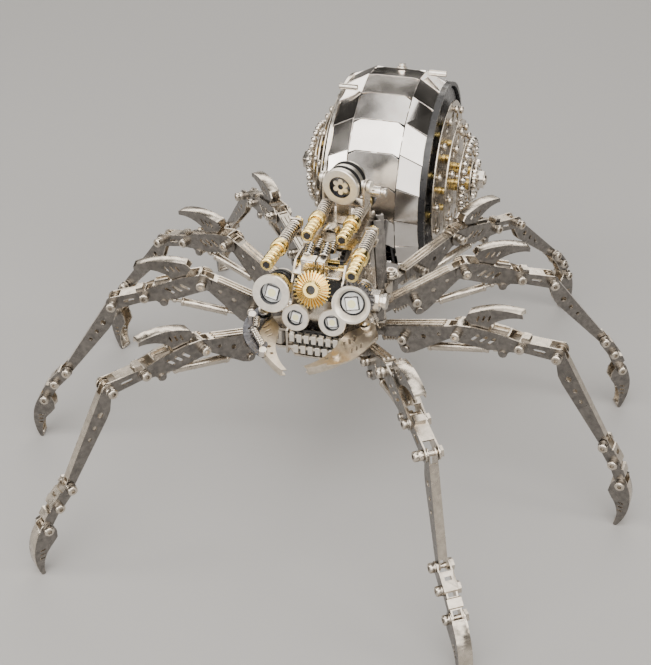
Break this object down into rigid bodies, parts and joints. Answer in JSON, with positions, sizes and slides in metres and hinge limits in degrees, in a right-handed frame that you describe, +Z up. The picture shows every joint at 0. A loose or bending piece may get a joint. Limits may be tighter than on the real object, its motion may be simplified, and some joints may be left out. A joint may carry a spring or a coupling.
{
  "type": "hexapod spider robot",
  "caption": "Steampunk metal spider robot kit: jointed legs, lamp-eyed gear head, and a drum abdomen with spinning side rotors, standing on its claws.",
  "frame": {"origin": "on the floor, below the middle of the spider as it stands", "axes": "+Z up; -Y towards the face and jaws, +Y towards the abdomen; +X to the spider's left side"},
  "size_m": [0.2537, 0.2616, 0.1259],
  "materials": {
    "steel": "polished stainless steel",
    "mirror_steel": "mirror-polished steel",
    "brass": "bare brass",
    "black_metal": "black coated metal",
    "rubber": "soft black rubber",
    "black_plastic": "matt black plastic",
    "lamp": "lamp board with a pale phosphor chip"
  },
  "bodies": {
    "chassis": {"belly_plate": "steel", "deck_plate": "steel", "chassis_fasteners": "steel", "head_frame": "steel", "side_rails": "steel", "eye_housings": "steel", "eye_lamps": "lamp", "brass_fittings": "brass", "nozzle_springs": "steel", "battery_holder": "black_plastic", "mouth_teeth": "steel"},
    "crown_gear": {"crown_gear": "brass"},
    "turret": {"turret_housing": "steel", "turret_rings": "rubber"},
    "left_jaw": {"left_jaw": "steel"},
    "right_jaw": {"right_jaw": "steel"},
    "abdomen": {"abdomen_shell": "mirror_steel", "abdomen_core": "black_metal"},
    "rotor": {"rotor_discs": "steel", "rotor_spacers": "brass"},
    "right_leg_1_hip_arm": {"right_leg_1_hip_arm": "steel"},
    "right_leg_1_thigh": {"right_leg_1_thigh": "steel"},
    "right_leg_1_strut": {"right_leg_1_strut": "steel"},
    "right_leg_1_shin": {"right_leg_1_shin": "steel"},
    "right_leg_1_foot": {"right_leg_1_foot": "steel"},
    "right_leg_2_hip_arm": {"right_leg_2_hip_arm": "steel"},
    "right_leg_2_thigh": {"right_leg_2_thigh": "steel"},
    "right_leg_2_strut": {"right_leg_2_strut": "steel"},
    "right_leg_2_shin": {"right_leg_2_shin": "steel"},
    "right_leg_2_foot": {"right_leg_2_foot": "steel"},
    "right_leg_3_hip_arm": {"right_leg_3_hip_arm": "steel"},
    "right_leg_3_thigh": {"right_leg_3_thigh": "steel"},
    "right_leg_3_strut": {"right_leg_3_strut": "steel"},
    "right_leg_3_shin": {"right_leg_3_shin": "steel"},
    "right_leg_3_foot": {"right_leg_3_foot": "steel"},
    "right_leg_4_hip_arm": {"right_leg_4_hip_arm": "steel"},
    "right_leg_4_thigh": {"right_leg_4_thigh": "steel"},
    "right_leg_4_strut": {"right_leg_4_strut": "steel"},
    "right_leg_4_shin": {"right_leg_4_shin": "steel"},
    "right_leg_4_foot": {"right_leg_4_foot": "steel"},
    "left_leg_1_hip_arm": {"left_leg_1_hip_arm": "steel"},
    "left_leg_1_thigh": {"left_leg_1_thigh": "steel"},
    "left_leg_1_strut": {"left_leg_1_strut": "steel"},
    "left_leg_1_shin": {"left_leg_1_shin": "steel"},
    "left_leg_1_foot": {"left_leg_1_foot": "steel"},
    "left_leg_2_hip_arm": {"left_leg_2_hip_arm": "steel"},
    "left_leg_2_thigh": {"left_leg_2_thigh": "steel"},
    "left_leg_2_strut": {"left_leg_2_strut": "steel"},
    "left_leg_2_shin": {"left_leg_2_shin": "steel"},
    "left_leg_2_foot": {"left_leg_2_foot": "steel"},
    "left_leg_3_hip_arm": {"left_leg_3_hip_arm": "steel"},
    "left_leg_3_thigh": {"left_leg_3_thigh": "steel"},
    "left_leg_3_strut": {"left_leg_3_strut": "steel"},
    "left_leg_3_shin": {"left_leg_3_shin": "steel"},
    "left_leg_3_foot": {"left_leg_3_foot": "steel"},
    "left_leg_4_hip_arm": {"left_leg_4_hip_arm": "steel"},
    "left_leg_4_thigh": {"left_leg_4_thigh": "steel"},
    "left_leg_4_strut": {"left_leg_4_strut": "steel"},
    "left_leg_4_shin": {"left_leg_4_shin": "steel"},
    "left_leg_4_foot": {"left_leg_4_foot": "steel"}
  },
  "joints": [
    {"name": "crown_spin", "type": "hinge", "parent": "chassis", "child": "crown_gear", "pos_m": [0, -0.048, 0.0966], "axis": [0, 0.8988, -0.4384], "continuous": true},
    {"name": "turret_tilt", "type": "hinge", "parent": "chassis", "child": "turret", "pos_m": [0.00097, -0.00148, 0.118], "axis": [-0.9848, 0.1736, 0], "range_deg": [-5, 12]},
    {"name": "left_jaw_swing", "type": "hinge", "parent": "chassis", "child": "left_jaw", "pos_m": [0.021, -0.044, 0.078], "axis": [-0.2173, -0.195, 0.9564], "range_deg": [-5, 12]},
    {"name": "right_jaw_swing", "type": "hinge", "parent": "chassis", "child": "right_jaw", "pos_m": [-0.021, -0.044, 0.078], "axis": [-0.2173, 0.195, -0.9564], "range_deg": [-14, 6]},
    {"name": "abdomen_pitch", "type": "hinge", "parent": "chassis", "child": "abdomen", "pos_m": [0, 0.023, 0.0736], "axis": [1, 0, 0], "range_deg": [-5, 10]},
    {"name": "rotor_spin", "type": "hinge", "parent": "abdomen", "child": "rotor", "pos_m": [0, 0.0838, 0.08], "axis": [1, 0, 0], "continuous": true},
    {"name": "right_leg_1_hip", "type": "hinge", "parent": "chassis", "child": "right_leg_1_hip_arm", "pos_m": [-0.0165, -0.0353, 0.066], "axis": [0, 0, -1], "range_deg": [-5, 12]},
    {"name": "right_leg_1_knuckle", "type": "hinge", "parent": "right_leg_1_hip_arm", "child": "right_leg_1_thigh", "pos_m": [-0.04012, -0.06345, 0.07566], "axis": [-0.766, 0.6428, 0], "range_deg": [-10, 12]},
    {"name": "right_leg_1_strut", "type": "hinge", "parent": "right_leg_1_thigh", "child": "right_leg_1_strut", "pos_m": [-0.05156, -0.07709, 0.06984], "axis": [-0.766, 0.6428, 0], "range_deg": [-7.49, 7.49]},
    {"name": "right_leg_1_knee", "type": "hinge", "parent": "right_leg_1_thigh", "child": "right_leg_1_shin", "pos_m": [-0.06524, -0.09339, 0.07258], "axis": [-0.766, 0.6428, 0], "range_deg": [-20, 15]},
    {"name": "right_leg_1_ankle", "type": "hinge", "parent": "right_leg_1_shin", "child": "right_leg_1_foot", "pos_m": [-0.07837, -0.10904, 0.03543], "axis": [-0.766, 0.6428, 0], "range_deg": [-15, 15]},
    {"name": "right_leg_2_hip", "type": "hinge", "parent": "chassis", "child": "right_leg_2_hip_arm", "pos_m": [-0.0165, -0.024, 0.066], "axis": [0, 0, -1], "range_deg": [-12, 12]},
    {"name": "right_leg_2_knuckle", "type": "hinge", "parent": "right_leg_2_hip_arm", "child": "right_leg_2_thigh", "pos_m": [-0.05006, -0.03022, 0.08271], "axis": [-0.1822, 0.9833, 0], "range_deg": [-10, 12]},
    {"name": "right_leg_2_strut", "type": "hinge", "parent": "right_leg_2_thigh", "child": "right_leg_2_strut", "pos_m": [-0.06582, -0.03314, 0.07304], "axis": [-0.1822, 0.9833, 0], "range_deg": [-7.78, 7.78]},
    {"name": "right_leg_2_knee", "type": "hinge", "parent": "right_leg_2_thigh", "child": "right_leg_2_shin", "pos_m": [-0.08682, -0.03703, 0.07092], "axis": [-0.1822, 0.9833, 0], "range_deg": [-20, 15]},
    {"name": "right_leg_2_ankle", "type": "hinge", "parent": "right_leg_2_shin", "child": "right_leg_2_foot", "pos_m": [-0.10983, -0.0413, 0.03556], "axis": [-0.1822, 0.9833, 0], "range_deg": [-15, 15]},
    {"name": "right_leg_3_hip", "type": "hinge", "parent": "chassis", "child": "right_leg_3_hip_arm", "pos_m": [-0.0165, -0.01, 0.066], "axis": [0, 0, -1], "range_deg": [-12, 12]},
    {"name": "right_leg_3_knuckle", "type": "hinge", "parent": "right_leg_3_hip_arm", "child": "right_leg_3_thigh", "pos_m": [-0.04891, 0.00148, 0.08219], "axis": [0.3338, 0.9426, 0], "range_deg": [-10, 12]},
    {"name": "right_leg_3_strut", "type": "hinge", "parent": "right_leg_3_thigh", "child": "right_leg_3_strut", "pos_m": [-0.06426, 0.00691, 0.07294], "axis": [0.3338, 0.9426, 0], "range_deg": [-7.74, 7.74]},
    {"name": "right_leg_3_knee", "type": "hinge", "parent": "right_leg_3_thigh", "child": "right_leg_3_shin", "pos_m": [-0.08443, 0.01405, 0.07138], "axis": [0.3338, 0.9426, 0], "range_deg": [-20, 15]},
    {"name": "right_leg_3_ankle", "type": "hinge", "parent": "right_leg_3_shin", "child": "right_leg_3_foot", "pos_m": [-0.10931, 0.02286, 0.0382], "axis": [0.3338, 0.9426, 0], "range_deg": [-15, 15]},
    {"name": "right_leg_4_hip", "type": "hinge", "parent": "chassis", "child": "right_leg_4_hip_arm", "pos_m": [-0.0165, 0.011, 0.066], "axis": [0, 0, -1], "range_deg": [-12, 5]},
    {"name": "right_leg_4_knuckle", "type": "hinge", "parent": "right_leg_4_hip_arm", "child": "right_leg_4_thigh", "pos_m": [-0.04034, 0.03891, 0.07585], "axis": [0.7604, 0.6494, 0], "range_deg": [-10, 12]},
    {"name": "right_leg_4_strut", "type": "hinge", "parent": "right_leg_4_thigh", "child": "right_leg_4_strut", "pos_m": [-0.05116, 0.05158, 0.06732], "axis": [0.7604, 0.6494, 0], "range_deg": [-7.57, 7.57]},
    {"name": "right_leg_4_knee", "type": "hinge", "parent": "right_leg_4_thigh", "child": "right_leg_4_shin", "pos_m": [-0.06509, 0.06789, 0.0667], "axis": [0.7604, 0.6494, 0], "range_deg": [-20, 15]},
    {"name": "right_leg_4_ankle", "type": "hinge", "parent": "right_leg_4_shin", "child": "right_leg_4_foot", "pos_m": [-0.08359, 0.08955, 0.03528], "axis": [0.7604, 0.6494, 0], "range_deg": [-15, 15]},
    {"name": "left_leg_1_hip", "type": "hinge", "parent": "chassis", "child": "left_leg_1_hip_arm", "pos_m": [0.0165, -0.0353, 0.066], "axis": [0, 0, 1], "range_deg": [-5, 12]},
    {"name": "left_leg_1_knuckle", "type": "hinge", "parent": "left_leg_1_hip_arm", "child": "left_leg_1_thigh", "pos_m": [0.03597, -0.06528, 0.0789], "axis": [-0.8387, -0.5446, 0], "range_deg": [-10, 12]},
    {"name": "left_leg_1_strut", "type": "hinge", "parent": "left_leg_1_thigh", "child": "left_leg_1_strut", "pos_m": [0.04509, -0.07932, 0.07051], "axis": [-0.8387, -0.5446, 0], "range_deg": [-7.62, 7.62]},
    {"name": "left_leg_1_knee", "type": "hinge", "parent": "left_leg_1_thigh", "child": "left_leg_1_shin", "pos_m": [0.05677, -0.09731, 0.07008], "axis": [-0.8387, -0.5446, 0], "range_deg": [-20, 15]},
    {"name": "left_leg_1_ankle", "type": "hinge", "parent": "left_leg_1_shin", "child": "left_leg_1_foot", "pos_m": [0.06448, -0.10918, 0.03011], "axis": [-0.8387, -0.5446, 0], "range_deg": [-15, 15]},
    {"name": "left_leg_2_hip", "type": "hinge", "parent": "chassis", "child": "left_leg_2_hip_arm", "pos_m": [0.0165, -0.024, 0.066], "axis": [0, 0, 1], "range_deg": [-12, 12]},
    {"name": "left_leg_2_knuckle", "type": "hinge", "parent": "left_leg_2_hip_arm", "child": "left_leg_2_thigh", "pos_m": [0.05309, -0.02849, 0.07524], "axis": [-0.1219, -0.9925, 0], "range_deg": [-10, 12]},
    {"name": "left_leg_2_strut", "type": "hinge", "parent": "left_leg_2_thigh", "child": "left_leg_2_strut", "pos_m": [0.07111, -0.0307, 0.07068], "axis": [-0.1219, -0.9925, 0], "range_deg": [-7.45, 7.45]},
    {"name": "left_leg_2_knee", "type": "hinge", "parent": "left_leg_2_thigh", "child": "left_leg_2_shin", "pos_m": [0.09199, -0.03327, 0.0749], "axis": [-0.1219, -0.9925, 0], "range_deg": [-20, 15]},
    {"name": "left_leg_2_ankle", "type": "hinge", "parent": "left_leg_2_shin", "child": "left_leg_2_foot", "pos_m": [0.11271, -0.03581, 0.03799], "axis": [-0.1219, -0.9925, 0], "range_deg": [-15, 15]},
    {"name": "left_leg_3_hip", "type": "hinge", "parent": "chassis", "child": "left_leg_3_hip_arm", "pos_m": [0.0165, -0.01, 0.066], "axis": [0, 0, 1], "range_deg": [-12, 12]},
    {"name": "left_leg_3_knuckle", "type": "hinge", "parent": "left_leg_3_hip_arm", "child": "left_leg_3_thigh", "pos_m": [0.04736, 0.00573, 0.08163], "axis": [0.454, -0.891, 0], "range_deg": [-10, 12]},
    {"name": "left_leg_3_strut", "type": "hinge", "parent": "left_leg_3_thigh", "child": "left_leg_3_strut", "pos_m": [0.06187, 0.01312, 0.07238], "axis": [0.454, -0.891, 0], "range_deg": [-7.72, 7.72]},
    {"name": "left_leg_3_knee", "type": "hinge", "parent": "left_leg_3_thigh", "child": "left_leg_3_shin", "pos_m": [0.08094, 0.02283, 0.07082], "axis": [0.454, -0.891, 0], "range_deg": [-20, 15]},
    {"name": "left_leg_3_ankle", "type": "hinge", "parent": "left_leg_3_shin", "child": "left_leg_3_foot", "pos_m": [0.1042, 0.03468, 0.03741], "axis": [0.454, -0.891, 0], "range_deg": [-15, 15]},
    {"name": "left_leg_4_hip", "type": "hinge", "parent": "chassis", "child": "left_leg_4_hip_arm", "pos_m": [0.0165, 0.011, 0.066], "axis": [0, 0, 1], "range_deg": [-12, 5]},
    {"name": "left_leg_4_knuckle", "type": "hinge", "parent": "left_leg_4_hip_arm", "child": "left_leg_4_thigh", "pos_m": [0.03645, 0.04232, 0.07407], "axis": [0.8434, -0.5373, 0], "range_deg": [-10, 12]},
    {"name": "left_leg_4_strut", "type": "hinge", "parent": "left_leg_4_thigh", "child": "left_leg_4_strut", "pos_m": [0.04556, 0.05662, 0.06613], "axis": [0.8434, -0.5373, 0], "range_deg": [-7.53, 7.53]},
    {"name": "left_leg_4_knee", "type": "hinge", "parent": "left_leg_4_thigh", "child": "left_leg_4_shin", "pos_m": [0.05709, 0.07472, 0.06625], "axis": [0.8434, -0.5373, 0], "range_deg": [-20, 15]},
    {"name": "left_leg_4_ankle", "type": "hinge", "parent": "left_leg_4_shin", "child": "left_leg_4_foot", "pos_m": [0.07348, 0.10044, 0.0368], "axis": [0.8434, -0.5373, 0], "range_deg": [-15, 15]}
  ],
  "couplings": [
    {"joint": "right_leg_1_strut", "follows": "right_leg_1_knuckle", "ratio": -0.5823},
    {"joint": "right_leg_2_strut", "follows": "right_leg_2_knuckle", "ratio": -0.6063},
    {"joint": "right_leg_3_strut", "follows": "right_leg_3_knuckle", "ratio": -0.6031},
    {"joint": "right_leg_4_strut", "follows": "right_leg_4_knuckle", "ratio": -0.5894},
    {"joint": "left_leg_1_strut", "follows": "left_leg_1_knuckle", "ratio": -0.5935},
    {"joint": "left_leg_2_strut", "follows": "left_leg_2_knuckle", "ratio": -0.5794},
    {"joint": "left_leg_3_strut", "follows": "left_leg_3_knuckle", "ratio": -0.6019},
    {"joint": "left_leg_4_strut", "follows": "left_leg_4_knuckle", "ratio": -0.5855}
  ]
}
